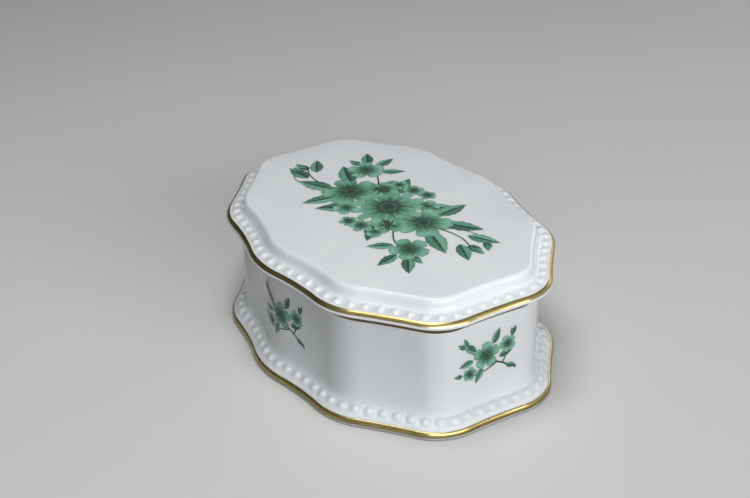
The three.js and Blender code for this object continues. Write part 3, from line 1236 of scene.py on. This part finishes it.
@dataclass
class Lid:
    """The porcelain lid: low dome, rolled shoulder, beaded overhanging edge and locating ring."""

    outline: LobedOutline
    seat: float = 32.8
    mouth: float = 7.1
    lip_reach: float = 0.8
    lip_height: float = 0.9
    lip_swell: float = 0.15
    lip_middle: float = 0.4
    gold_reach: float = 1.15
    gold_rise: float = 1.0
    border_width: float = 0.5
    border_rise: float = 0.1
    border_turn: float = 0.05
    cove_width: float = 0.95
    cove_height: float = 1.75
    shoulder_width: float = 1.3
    shoulder_height: float = 1.6
    steepness: float = 5.0
    dome: float = 0.9
    thickness: float = 3.2
    clearance: float = 0.8
    ring_thickness: float = 2.2
    ring_depth: float = 3.2
    ring_rounding: float = 0.5
    beads: BeadRow = BeadRow(
        count=73, rise=0.35, radius=1.15, relief=0.5, breadth=0.37, phase=0.259, turn=0.6, climb=0.2
    )

    @property
    def plateau_inset(self) -> float:
        """Return the inset where the shoulder ends and the dome starts."""
        return self.row_inset + self.beads.band / 2 + self.cove_width + self.shoulder_width

    @property
    def plateau(self) -> float:
        """Return the height where the shoulder ends and the dome starts.

        Returns:
            The height in millimetres.
        """
        edge = self.seat + self.lip_height + self.gold_rise
        row = self.border_rise + self.beads.rise + self.beads.climb
        return edge + row + self.cove_height + self.shoulder_height

    @property
    def row_inset(self) -> float:
        """Return the inset of the middle of the bead row."""
        return self.gold_reach + self.border_width + self.beads.band / 2

    @cached_property
    def stations(self) -> list[Station]:
        """Return the columns of points of the casting."""
        return self.beads.stations(self.outline, self.row_inset)

    @property
    def gilding(self) -> EdgeGilding:
        """Return the gold band of the lid's edge.

        Returns:
            The band.
        """
        return EdgeGilding(
            "lid_gold_band", "lid_edge_gilding", EdgeForm.FLARED,
            self.lip_swell, self.seat + self.lip_height,
            self.gold_reach - self.lip_swell, self.gold_rise,
        )

    def profile(self) -> Profile:
        """Draw the section from the middle of the ceiling, round ring and edge and over the top.

        Returns:
            The section.
        """
        ceiling = self.plateau - self.thickness
        outer = self.mouth + self.clearance
        inner = outer + self.ring_thickness
        foot = self.seat - self.ring_depth
        turn = self.ring_rounding
        section = Profile()
        section.spread(inner + turn, ceiling, first=0.15, steps=5)
        section.quarter((inner, ceiling - turn), flat_first=True, steps=4)
        section.line(inner, foot + turn, steps=3)
        section.quarter((inner - turn, foot), flat_first=False, steps=4)
        section.line(outer + turn, foot, steps=2)
        section.quarter((outer, foot + turn), flat_first=True, steps=4)
        section.line(outer, self.seat - turn, steps=3)
        section.quarter((outer - turn, self.seat), flat_first=False, steps=4)
        section.line(self.lip_reach, self.seat, steps=2)
        section.quarter((0.0, self.seat + self.lip_middle), flat_first=True, steps=8)
        section.quarter((self.lip_swell, self.seat + self.lip_height), flat_first=False, steps=4)
        self.gilding.bed(section)
        edge = section.last
        section.bow(
            (edge.inset + self.border_turn, edge.height + self.border_rise),
            (edge.inset + self.border_width, edge.height + self.border_rise),
            steps=5,
        )
        section.beaded(self.beads)
        cove = section.last
        slope = self.beads.end_slope
        low = (self.steepness * self.cove_width - self.cove_height) / (self.steepness - slope)
        turn_at = (cove.inset + self.cove_width, cove.height + self.cove_height)
        hollow = (cove.inset + low, cove.height + slope * low)
        section.bow(hollow, turn_at, steps=10, hollow=COVE_POOL_AND_SHADE)
        high = turn_at[0] + self.shoulder_height / self.steepness
        section.bow((high, self.plateau), (self.plateau_inset, self.plateau), steps=10)
        section.close_on_middle(self.dome, steps=8, last=0.08)
        return section

    def build(self) -> list[Piece]:
        """Return the lid and its gold band.

        Returns:
            The two pieces, in that order.
        """
        lid = cast_solid(
            "porcelain_lid", self.stations, self.profile(), self.beads, self.plateau + self.dome
        )
        return [lid, self.gilding.build(self.stations)]

    def dress(self, pieces: Sequence[Piece], glaze: Material, gold: Material) -> None:
        """Give each piece its finish and body, and hide the CAD node it stands for."""
        dress_piece(pieces[0], glaze, Body.LID, Slot.PORCELAIN, "lid")
        dress_piece(pieces[1], gold, Body.LID, Slot.GILDING, self.gilding.node)


def dress_piece(
    piece: Piece,
    material: Material,
    body: Body,
    slot: Slot | None = None,
    node: str | None = None,
) -> None:
    """Give a piece its finish and tie it to the frame.

    Args:
        piece: The finished piece.
        material: Its finish.
        body: The body that it rides on.
        slot: The record's slot of that finish, if it has one; not used.
        node: The CAD node that it stands for, if any.
    """
    piece.data.materials.clear()
    piece.data.materials.append(material)
    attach(piece, body.value)
    if node:
        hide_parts(node)
    LOG.info("%s: %d faces on %s", piece.name, len(piece.data.polygons), body.value)


@dataclass(frozen=True)
class LidTop:
    """The lid's dome as a surface to paint on."""

    lid: Lid

    def lay(self, u: float, v: float, lift: float) -> Vector:
        """Return the place on the dome at u along and v across, raised by lift, in millimetres.

        Args:
            u: Distance along the lid.
            v: Distance across it.
            lift: Height over the surface.

        Returns:
            The place.
        """
        flat = Vector((u, v))
        if flat.length < TINY:
            return Vector((u, v, self.lid.plateau + self.lid.dome + lift))
        share = flat.length / self._reach(flat)
        return Vector((u, v, self.lid.plateau + self.lid.dome * (1.0 - share * share) + lift))

    def _reach(self, flat: Vector) -> float:
        """Return how far the plateau reaches in one direction.

        Args:
            flat: A point in that direction from the middle.

        Returns:
            The distance in millimetres.
        """
        bearings, reaches = self._ring
        after = bisect(bearings, math.atan2(flat.y, flat.x)) % len(bearings)
        return (reaches[after - 1] + reaches[after]) / 2

    @cached_property
    def _ring(self) -> tuple[list[float], list[float]]:
        """Return the bearings of points round the plateau's edge, in order, and their distances.

        Returns:
            The bearings and the distances from the middle.
        """
        flats = [station.moved(self.lid.plateau_inset) for station in self.lid.stations]
        ring = sorted((math.atan2(flat.y, flat.x), flat.length) for flat in flats)
        return [bearing for bearing, _ in ring], [reach for _, reach in ring]


@dataclass(frozen=True)
class WallFace:
    """A stretch of the body's wall as a surface to paint on."""

    body: BoxBody
    arc: int
    shift: float
    height: float

    def lay(self, u: float, v: float, lift: float) -> Vector:
        """Return the place on the wall at u along and v up, raised by lift, in millimetres.

        Args:
            u: Distance along the wall from the middle of the spray.
            v: Distance up from it.
            lift: Height over the surface.

        Returns:
            The place.
        """
        inset = self.body.wall_inset
        middle = self.body.outline.middle_of(self.arc, inset)
        flat = self.body.outline.station(middle + self.shift + u, inset).moved(inset - lift)
        return Vector((flat.x, flat.y, self.height + v))


class Motif(Enum):
    """The brush shapes that the sprays are made of."""

    LEAF = "leaf"
    BROAD_PETAL = "broad_petal"
    SLIM_PETAL = "slim_petal"
    BUD = "bud"
    DISC = "disc"


@dataclass(frozen=True)
class MotifShape:
    """One brush shape of unit length along X, laid down with a dark outline and a shaded body."""

    motif: Motif
    width: float
    along_steps: int = 20
    across_steps: int = 12
    disc_sides: int = 14
    edge_crowding: float = 1.5
    rim_start: float = 0.84
    leaf_fullness: float = 0.78
    leaf_teeth: float = 5.0
    tooth_depth: float = 0.10
    leaf_tone: float = 0.55
    leaf_sides: Pair = (-0.06, 0.20)
    leaf_rim: float = 0.34
    vein_depth: float = 0.38
    vein_width: float = 0.08
    rib_depth: float = 0.20
    rib_lean: float = 1.3
    bud_fullness: float = 0.62
    bud_bluntness: float = 0.9
    bud_tone: float = 0.42
    bud_turn: float = 0.40
    bud_tip: float = 0.18
    bud_rim: float = 0.30
    broad_power: float = 0.55
    slim_power: float = 0.75
    notch_depth: float = 0.13
    petal_tones: Pair = (0.28, 0.58)
    petal_rim: float = 0.40
    streak_depth: float = 0.22
    streak_turns: float = 11.0
    disc_tones: Pair = (0.08, 0.20)

    def half_width(self, s: float) -> float:
        """Return half the width a share of the way along.

        Args:
            s: The share of the way along it, from 0 to 1.

        Returns:
            Half the width, as a share of the length.
        """
        if self.motif is Motif.LEAF:
            bite = abs(math.sin(s * math.pi * self.leaf_teeth)) * smooth_step(s, 0.0, 0.2)
            body = math.sin(math.pi * s**self.leaf_fullness)
            return self.width * body * (1.0 - self.tooth_depth * bite)
        if self.motif is Motif.BUD:
            return self.width * math.sin(math.pi * s**self.bud_fullness) ** self.bud_bluntness
        power = self.broad_power if self.motif is Motif.BROAD_PETAL else self.slim_power
        return self.width * (s**power) * math.sqrt(max(1.0 - s**6, 0.0))

    def reach(self, s: float, t: float) -> float:
        """Return how far along a point lies; a broad petal's tip is notched."""
        depth = self.notch_depth if self.motif is Motif.BROAD_PETAL else 0.0
        return s - depth * (1.0 - abs(t)) ** 2 * s**5

    def tone(self, s: float, t: float) -> float:
        """Return how light the enamel is at a point, from 0 to 1.

        Args:
            s: The share of the way along it, from 0 to 1.
            t: The place across it, from -1 to 1.

        Returns:
            The tone.
        """
        rim = smooth_step(abs(t), self.rim_start, 1.0)
        if self.motif is Motif.LEAF:
            side = self.leaf_sides[t > 0]
            vein = self.vein_depth * math.exp(-((t / self.vein_width) ** 2))
            wave = math.cos(math.tau * (s * self.leaf_teeth - abs(t) * self.rib_lean))
            ribs = self.rib_depth * max(wave, 0.0) ** 6
            return self.leaf_tone + side - vein - ribs - self.leaf_rim * rim
        if self.motif is Motif.BUD:
            body = self.bud_tone + self.bud_turn * t * (1.0 - s) + self.bud_tip * s
            return body - self.bud_rim * rim
        lines = max(math.cos(t * self.streak_turns), 0.0)
        streak = self.streak_depth * lines * (1.0 - smooth_step(s, 0.3, 0.85))
        rim = max(rim, smooth_step(s, 0.93, 1.0))
        dark, gain = self.petal_tones
        return dark + gain * smooth_step(s, 0.05, 0.85) - streak - self.petal_rim * rim

    def build(self) -> Piece:
        """Return the shape as a thin slab one unit thick.

        Returns:
            The shape, to be copied.
        """
        start_fresh()
        if self.motif is Motif.DISC:
            bpy.ops.mesh.primitive_circle_add(
                vertices=self.disc_sides, radius=1.0, fill_type="TRIFAN"
            )
        else:
            bpy.ops.mesh.primitive_grid_add(
                x_subdivisions=self.along_steps, y_subdivisions=self.across_steps, size=1.0
            )
        piece = bpy.context.active_object
        piece.name = "brush_" + self.motif.value
        bpy.ops.object.mode_set(mode="EDIT")
        mesh = bmesh.from_edit_mesh(piece.data)
        tone = mesh.verts.layers.float.new(Mark.TONE.value)
        edge = mesh.verts.layers.float.new(Mark.EDGE.value)
        for v in mesh.verts:
            if self.motif is Motif.DISC:
                v[edge] = min(v.co.length, 1.0)
                v[tone] = self.disc_tones[0] + self.disc_tones[1] * v[edge]
                continue
            s = clamp(v.co.x + 0.5)
            even = clamp(2.0 * v.co.y, -1.0)
            t = math.copysign(1.0 - (1.0 - abs(even)) ** self.edge_crowding, even)
            v[tone] = self.tone(s, t)
            v[edge] = max(abs(t), smooth_step(s, 0.85, 1.0))
            v.co = Vector((self.reach(s, t), t * self.half_width(s), 0.0))
        bmesh.update_edit_mesh(piece.data)
        thicken_sheet()
        return piece


def thicken_sheet() -> None:
    """Merge the doubles of the sheet in edit mode, make it one unit thick and leave edit mode."""
    bpy.ops.mesh.select_all(action="SELECT")
    bpy.ops.mesh.remove_doubles(threshold=SHEET_MERGE)
    bpy.ops.mesh.select_all(action="SELECT")
    bpy.ops.mesh.extrude_region_move(TRANSFORM_OT_translate={"value": (0.0, 0.0, 1.0)})
    bpy.ops.mesh.select_all(action="SELECT")
    bpy.ops.mesh.normals_make_consistent(inside=False)
    bpy.ops.object.mode_set(mode="OBJECT")


class Layer(IntEnum):
    """The order in which the shapes of a spray lie over one another."""

    STEM = 0
    LEAF = 1
    BUD = 2
    PETAL = 3
    EYE = 6


@dataclass(frozen=True)
class Touch:
    """One brush shape laid down: place, bearing in degrees, size, and how it lies on the others."""

    motif: Motif
    u: float
    v: float
    turn: float
    length: float
    layer: int
    stretch: float = 1.0
    roll: float = 0.0
    shade: float = 0.0


@dataclass(frozen=True)
class Stem:
    """A stem drawn with one stroke along four control points."""

    points: tuple[Pair, ...]
    width: float = 0.5
    tip: float = 0.25
    steps: int = 22

    def place(self, t: float) -> tuple[Vector, Vector]:
        """Return the place and the direction a share of the way along.

        Args:
            t: The share, from 0 to 1.

        Returns:
            The place and the unit direction.
        """
        a, b, c, d = (Vector(p) for p in self.points)
        u = 1.0 - t
        place = a * u**3 + b * (3 * u * u * t) + c * (3 * u * t * t) + d * t**3
        way = (b - a) * (3 * u * u) + (c - b) * (6 * u * t) + (d - c) * (3 * t * t)
        return place, way.normalized()


@dataclass(frozen=True)
class Bloom:
    """A flower: its middle, its radius, its number of petals and their shape."""

    u: float
    v: float
    radius: float
    petals: int = 5
    motif: Motif = Motif.BROAD_PETAL
    turn: float = 0.0
    shade: float = 0.0
    rows: int = 1
    row_step: float = 0.28
    row_shade: float = 0.08
    petal_roll: float = 0.012
    petal_shades: float = 0.05
    eye: float = 0.20
    eye_shade: float = 0.02
    dot_ring: float = 0.30
    dot: float = 0.055
    dot_shade: float = -0.05

    def touches(self) -> Iterator[Touch]:
        """Lay down the petals row by row, then the eye and its dots.

        Yields:
            One brush shape after another.
        """
        for row in range(self.rows):
            length = self.radius * (1.0 - self.row_step * row)
            for i in range(self.petals):
                bearing = self.turn + 360.0 * (i + 0.5 * row) / self.petals
                shade = self.shade - self.row_shade * row + self.petal_shades * math.sin(i * 2.4)
                yield Touch(
                    self.motif, self.u, self.v, bearing, length, Layer.PETAL + row,
                    roll=self.petal_roll, shade=shade,
                )
        yield self._disc(self.u, self.v, self.eye, self.eye_shade)
        dots = self.petals + 2
        for i in range(dots):
            angle = math.radians(self.turn + 360.0 * (i + 0.5) / dots)
            reach = self.radius * self.dot_ring
            u = self.u + reach * math.cos(angle)
            yield self._disc(u, self.v + reach * math.sin(angle), self.dot, self.dot_shade)

    def _disc(self, u: float, v: float, share: float, shade: float) -> Touch:
        """Return a round dot whose radius is a share of the flower's."""
        return Touch(Motif.DISC, u, v, 0.0, self.radius * share, Layer.EYE, shade=shade)


@dataclass(frozen=True)
class Spray:
    """A painted spray: its stems, flowers, leaves and buds, on a flat sheet of millimetres."""

    stems: tuple[Stem, ...]
    blooms: tuple[Bloom, ...]
    leaves: tuple[tuple[float, float, float, float], ...]
    buds: tuple[tuple[float, float, float, float], ...]
    film: float = 0.025
    layer_lift: float = 0.008
    leaf_shades: float = 0.09
    leaf_roll: float = 0.006
    bud_shade: float = 0.05
    sepal_turn: float = 24.0
    sepal_length: float = 0.62
    sepal_width: float = 0.8
    sepal_shade: float = -0.18

    def touches(self) -> Iterator[Touch]:
        """Lay down leaves, buds and flowers, in the order they overlap.

        Yields:
            One brush shape after another.
        """
        for i, (u, v, turn, length) in enumerate(self.leaves):
            shade = self.leaf_shades * math.sin(i * 1.7)
            layer = Layer.LEAF + i % 2
            yield Touch(Motif.LEAF, u, v, turn, length, layer, roll=self.leaf_roll, shade=shade)
        for u, v, turn, length in self.buds:
            yield Touch(Motif.BUD, u, v, turn, length, Layer.BUD, shade=self.bud_shade)
            for side in (-self.sepal_turn, self.sepal_turn):
                yield Touch(
                    Motif.LEAF, u, v, turn + side, length * self.sepal_length, Layer.PETAL,
                    self.sepal_width, shade=self.sepal_shade,
                )
        for bloom in self.blooms:
            yield from bloom.touches()

    def build(
        self, name: str, stock: dict[Motif, Piece], ground: LidTop | WallFace
    ) -> Piece:
        """Lay the spray down and drape it over its ground.

        Args:
            name: The piece's name.
            stock: One modelled shape for each motif.
            ground: The surface that it is painted on.

        Returns:
            The finished spray.
        """
        parts = [self._stroke(stem) for stem in self.stems]
        parts += [self._copy(stock[touch.motif], touch) for touch in self.touches()]
        start_fresh()
        for part in parts:
            part.select_set(True)
        bpy.context.view_layer.objects.active = parts[0]
        bpy.ops.object.join()
        spray = bpy.context.active_object
        spray.name = name
        spray.data.name = name
        for v in spray.data.vertices:
            v.co = ground.lay(v.co.x, v.co.y, v.co.z) * MM
        spray.data.update()
        bpy.ops.object.shade_smooth_by_angle(angle=SPRAY_CREASE)
        return spray

    def _stroke(self, stem: Stem) -> Piece:
        """Return one stem as a flat tapering stroke.

        Args:
            stem: The stem.

        Returns:
            The stroke on the flat sheet.
        """
        start_fresh()
        bpy.ops.mesh.primitive_grid_add(x_subdivisions=stem.steps, y_subdivisions=2, size=1.0)
        piece = bpy.context.active_object
        bpy.ops.object.mode_set(mode="EDIT")
        mesh = bmesh.from_edit_mesh(piece.data)
        tone = mesh.verts.layers.float.new(Mark.TONE.value)
        edge = mesh.verts.layers.float.new(Mark.EDGE.value)
        for v in mesh.verts:
            s = clamp(v.co.x + 0.5)
            t = 2.0 * v.co.y
            place, way = stem.place(s)
            half = (stem.width + (stem.tip - stem.width) * s) / 2
            flat = place + Vector((-way.y, way.x)) * (half * t)
            v[tone] = 0.14 + 0.10 * math.sin(s * 9.0)
            v[edge] = abs(t) * 0.8
            v.co = Vector((flat.x, flat.y, 0.0))
        bmesh.update_edit_mesh(piece.data)
        thicken_sheet()
        for v in piece.data.vertices:
            v.co.z = self._lift(Layer.STEM, v.co.z)
        return piece

    def _copy(self, shape: Piece, touch: Touch) -> Piece:
        """Return a copy of a modelled shape at its place on the flat sheet.

        Args:
            shape: The modelled shape.
            touch: Where and how it is laid down.

        Returns:
            The copy, with a mesh of its own.
        """
        mesh = shape.data.copy()
        piece = bpy.data.objects.new(shape.name, mesh)
        bpy.context.collection.objects.link(piece)
        turn = Matrix.Rotation(math.radians(touch.turn), 2)
        for v in mesh.vertices:
            across = v.co.y * touch.length * touch.stretch
            flat = turn @ Vector((v.co.x * touch.length, across))
            lift = self._lift(touch.layer, v.co.z) + touch.roll * across
            v.co = Vector((flat.x + touch.u, flat.y + touch.v, lift))
        for value in mesh.attributes[Mark.TONE.value].data:
            value.value = clamp(value.value + touch.shade)
        return piece

    def _lift(self, layer: int, level: float) -> float:
        """Return the height over the glaze of a point of one layer; undersides are sunk in it."""
        return layer * self.layer_lift + self.film if level > 0.5 else -self.film


LID_SPRAY = Spray(
    stems=(
        Stem(((-33.5, -6.5), (-19.4, -13.0), (-6.5, 2.2), (2.2, 0.0)), 0.35, 0.6),
        Stem(((2.2, 0.0), (10.8, -3.2), (19.4, 10.8), (30.2, 7.0)), 0.6, 0.35),
        Stem(((-8.6, 1.1), (-15.1, 8.6), (-21.6, 9.7), (-27.0, 7.6))),
        Stem(((8.6, -1.1), (14.0, -8.6), (20.5, -9.7), (26.5, -8.6))),
        Stem(((-21.6, -8.6), (-25.9, -14.0), (-31.3, -13.0), (-33.5, -10.8)), 0.35, 0.2),
        Stem(((19.4, 7.6), (23.8, 13.0), (29.2, 13.5), (31.3, 11.9)), 0.35, 0.2),
    ),
    blooms=(
        Bloom(0.5, 0.5, 10.7, 13, Motif.SLIM_PETAL, rows=2),
        Bloom(-13.5, -3.5, 8.3, turn=20.0, shade=-0.04),
        Bloom(13.2, 3.7, 8.1, turn=50.0, shade=0.03),
        Bloom(-23.2, 7.3, 5.5, turn=8.0, shade=0.05),
        Bloom(23.2, -7.1, 5.5, turn=30.0),
        Bloom(-4.3, 11.7, 3.2, turn=5.0),
        Bloom(-9.5, 10.2, 2.8, turn=40.0, shade=0.06),
        Bloom(0.2, 13.4, 2.6, turn=20.0, shade=-0.05),
        Bloom(5.4, -11.2, 3.2, turn=15.0),
        Bloom(10.6, -9.9, 2.8, turn=55.0, shade=0.06),
        Bloom(1.3, -12.7, 2.6, turn=33.0, shade=-0.05),
        Bloom(-9.6, 4.6, 4.6, turn=62.0, shade=-0.12),
        Bloom(9.2, -4.8, 4.6, turn=12.0, shade=-0.10),
        Bloom(5.6, 9.6, 3.8, turn=48.0, shade=0.08),
        Bloom(-5.6, -9.4, 3.8, turn=26.0, shade=0.08),
    ),
    leaves=(
        (-4.9, 5.4, 125.0, 11.6), (5.4, 6.5, 62.0, 11.6),
        (-4.9, -6.5, -118.0, 11.6), (5.9, -5.4, -50.0, 11.6),
        (-17.8, -7.0, -152.0, 11.6), (-13.0, -8.1, -102.0, 10.4), (-18.4, -0.5, 162.0, 11.6),
        (16.7, 8.1, 42.0, 11.0), (18.4, 2.2, -12.0, 12.0), (11.9, 9.2, 98.0, 10.4),
        (-28.1, -9.2, -172.0, 9.2), (-30.2, -5.4, 150.0, 8.5),
        (25.4, 9.7, 35.0, 9.2), (28.1, 5.4, -18.0, 8.5),
        (-26.5, 9.7, 150.0, 7.9), (-23.8, 11.3, 108.0, 7.3), (-20.0, 10.3, 60.0, 7.3),
        (26.5, -9.7, -30.0, 7.9), (23.8, -11.3, -75.0, 7.3), (19.4, -9.5, -120.0, 7.3),
        (-9.7, 2.7, 112.0, 8.5), (9.2, -2.2, -78.0, 8.5),
    ),
    buds=(
        (-32.9, -6.7, 188.0, 5.9), (29.8, 7.1, 8.0, 5.9), (-33.0, -11.0, 150.0, 4.6),
        (30.9, 12.1, -30.0, 4.6), (-27.0, 7.6, 190.0, 4.9), (26.4, -8.6, 5.0, 4.9),
    ),
)

WALL_SPRAY = Spray(
    stems=(
        Stem(((8.5, -6.1), (3.8, -2.5), (-1.9, -0.8), (-7.6, 4.9)), 0.5, 0.3),
        Stem(((2.8, -2.3), (-1.9, -4.9), (-5.2, -4.6), (-8.2, -3.1)), 0.4, 0.2),
        Stem(((4.3, -3.3), (6.2, 0.4), (6.6, 2.5), (7.0, 4.3)), 0.4, 0.2),
    ),
    blooms=(
        Bloom(-0.8, 0.7, 4.0, turn=15.0),
        Bloom(5.7, 2.1, 2.6, turn=40.0, shade=0.05),
        Bloom(-5.9, -3.2, 2.1, turn=5.0, shade=-0.03),
    ),
    leaves=(
        (-4.0, 2.8, 140.0, 5.1), (-6.6, 4.6, 108.0, 3.7),
        (1.3, 3.4, 66.0, 4.8), (3.2, -1.0, 12.0, 4.2),
        (-1.9, -2.6, -118.0, 4.8), (-4.8, 0.3, -174.0, 4.6),
        (6.8, 4.1, 62.0, 3.2), (5.3, -4.3, -20.0, 3.5),
    ),
    buds=((-7.6, 5.1, 142.0, 2.6), (-8.4, -3.0, 172.0, 2.5), (7.2, 4.4, 100.0, 2.3)),
)


class SprayArc(Enum):
    """The arcs of the outline, by number, at whose middles the wall carries a spray."""

    BACK = 4
    LEFT_END = 9
    FRONT = 14
    RIGHT_END = 19


@dataclass
class Painting:
    """The five painted sprays: one on the lid and one on each side of the body."""

    body: BoxBody
    lid: Lid
    middle_height: float = 18.2
    side_shift: float = 4.6
    shapes: tuple[MotifShape, ...] = (
        MotifShape(Motif.LEAF, 0.24),
        MotifShape(Motif.BROAD_PETAL, 0.50, 14, 12),
        MotifShape(Motif.SLIM_PETAL, 0.19, 14, 8),
        MotifShape(Motif.BUD, 0.26, 12, 8),
        MotifShape(Motif.DISC, 1.0),
    )

    def build(self) -> list[tuple[Piece, Body]]:
        """Return each spray with the body that it rides on.

        Returns:
            The sprays and their bodies.
        """
        stock = {shape.motif: shape.build() for shape in self.shapes}
        painted = [(LID_SPRAY.build("lid_spray", stock, LidTop(self.lid)), Body.LID)]
        walls = {
            "end_spray_right": (SprayArc.RIGHT_END, 0.0),
            "side_spray_back": (SprayArc.BACK, self.side_shift),
            "end_spray_left": (SprayArc.LEFT_END, 0.0),
            "side_spray_front": (SprayArc.FRONT, self.side_shift),
        }
        for name, (arc, shift) in walls.items():
            face = WallFace(self.body, arc.value, shift, self.middle_height)
            painted.append((WALL_SPRAY.build(name, stock, face), Body.BOX))
        for shape in stock.values():
            bpy.data.objects.remove(shape)
        return painted

    def dress(self, painted: Sequence[tuple[Piece, Body]], enamel: Material) -> None:
        """Give each spray its finish and the body that it rides on."""
        for piece, body in painted:
            dress_piece(piece, enamel, body)


@dataclass(frozen=True)
class Lamp:
    """A soft rectangular light that faces the box, in metres and watts."""

    name: str
    place: Triple
    size: Pair
    power: float

    def build(self) -> None:
        """Add the light to the scene."""
        start_fresh()
        bpy.ops.object.light_add(type="AREA", location=self.place)
        lamp = bpy.context.active_object
        lamp.name = self.name
        lamp.data.shape = "RECTANGLE"
        lamp.data.size, lamp.data.size_y = self.size
        lamp.data.energy = self.power
        lamp.rotation_euler = (-Vector(self.place)).to_track_quat("-Z", "Y").to_euler()


@dataclass
class Studio:
    """A plain pale floor, soft light and the camera."""

    camera_place: Triple = (277.78, -165.74, 208.50)
    camera_aim: Triple = (-11.43, 2.75, 20.0)
    camera_roll: float = -1.438
    lens: float = 63.58
    sensor: float = 36.0
    near: float = 0.01
    lamps: tuple[Lamp, ...] = (
        Lamp("key_light", (0.95, -0.12, 0.36), (1.35, 0.50), 9.9),
        Lamp("top_light", (0.05, -0.10, 0.6), (0.3, 0.3), 1.95),
        Lamp("back_light", (-0.3, 0.8, 0.25), (0.6, 0.3), 0.9),
    )
    floor_size: float = 6.0
    floor_colour: Colour = (0.66, 0.66, 0.655, 1.0)
    floor_bounce: Colour = (0.08, 0.08, 0.08, 1.0)
    floor_cloud_scale: float = 6.0
    floor_cloud: Pair = (0.98, 1.02)
    sky_colour: Colour = (0.93, 0.96, 1.0, 1.0)
    sky_strength: float = 0.025
    bright_side: Triple = (0.8, 0.3, 0.5)
    shine_span: Pair = (-0.4, 0.9)
    sky_shine: Pair = (0.12, 0.75)

    def build(self) -> None:
        """Set up floor, lights, world, camera and view."""
        self._floor()
        for lamp in self.lamps:
            lamp.build()
        self._world()
        self._camera()
        bpy.context.scene.view_settings.view_transform = "Standard"

    def _floor(self) -> None:
        """Add the floor that the box stands on."""
        start_fresh()
        bpy.ops.mesh.primitive_grid_add(x_subdivisions=4, y_subdivisions=4, size=self.floor_size)
        floor = bpy.context.active_object
        floor.name = "floor"
        material, board = new_material("pale_floor")
        cloud = board.varied(board.object_place(), self.floor_cloud_scale, self.floor_cloud)
        colour = board.mix(board.looked_at(), self.floor_bounce, self.floor_colour)
        tinted = board.add("ShaderNodeHueSaturation", {"Color": colour, "Value": cloud}).outputs[0]
        board.surface({"Base Color": tinted, "Roughness": 0.65, "Specular IOR Level": 0.2})
        floor.data.materials.append(material)

    def _world(self) -> None:
        """Light the scene evenly, in a room whose reflection is lighter on one side."""
        world = bpy.data.worlds.new("soft_room")
        world.use_nodes = True
        board = Board(world.node_tree)
        seen = board.looked_at()
        way = board.add("ShaderNodeTexCoord").outputs["Generated"]
        facing = board.add(
            "ShaderNodeVectorMath", {0: way, 1: self.bright_side}, operation="DOT_PRODUCT"
        )
        shine = board.ranged(facing.outputs["Value"], *self.shine_span, *self.sky_shine)
        strength = board.math("MULTIPLY", seen, board.math("SUBTRACT", shine, self.sky_strength))
        strength = board.math("ADD", strength, self.sky_strength)
        sky = board.add("ShaderNodeBackground", {"Color": self.sky_colour, "Strength": strength})
        board.add("ShaderNodeOutputWorld", {"Surface": sky.outputs[0]})
        bpy.context.scene.world = world

    def _camera(self) -> None:
        """Add the camera at the photograph's angle."""
        start_fresh()
        place = Vector(self.camera_place) * MM
        aim = Vector(self.camera_aim) * MM
        level = (aim - place).to_track_quat("-Z", "Y").to_matrix()
        turned = level @ Matrix.Rotation(math.radians(self.camera_roll), 3, "Z")
        bpy.ops.object.camera_add(location=place, rotation=turned.to_euler())
        camera = bpy.context.active_object
        camera.data.lens = self.lens
        camera.data.sensor_width = self.sensor
        camera.data.sensor_fit = "HORIZONTAL"
        camera.data.clip_start = self.near
        bpy.context.scene.camera = camera


def main() -> None:
    """Build and dress the box piece by piece, then the studio round it."""
    logging.basicConfig(level=logging.INFO, format="%(name)s: %(message)s")
    effects = SharedEffects()
    glaze = Glaze(effects).material()
    # Foot gold browner low down, lid gold browner high up: thin gold, and painted shade and painted
    # dark reflection.
    foot_gold = Gilding(effects, "foot_gold", thick=0.75, thin=0.15).material()
    lid_gold = Gilding(effects, "lid_gold", thick=0.35, thin=0.75).material()
    # The gold line under the lid is a much darker copy of the gold: painted shade from the lid's
    # overhang and painted dark reflection.
    shaded_line_gold = Gilding(
        effects,
        "shaded_line_gold",
        thick=-0.6,
        thin=0.6,
        bright=(0.20, 0.16, 0.09, 1.0),
        deep=(0.15, 0.11, 0.06, 1.0),
        brown_shade=(0.12, 0.09, 0.05, 1.0),
    ).material()
    enamel = Enamel(effects).material()
    outline = LobedOutline()
    body = BoxBody(outline)
    body.dress(body.build(), glaze, foot_gold, shaded_line_gold)
    lid = Lid(outline)
    lid.dress(lid.build(), glaze, lid_gold)
    painting = Painting(body, lid)
    painting.dress(painting.build(), enamel)
    Studio().build()


if __name__ == "__main__":
    main()
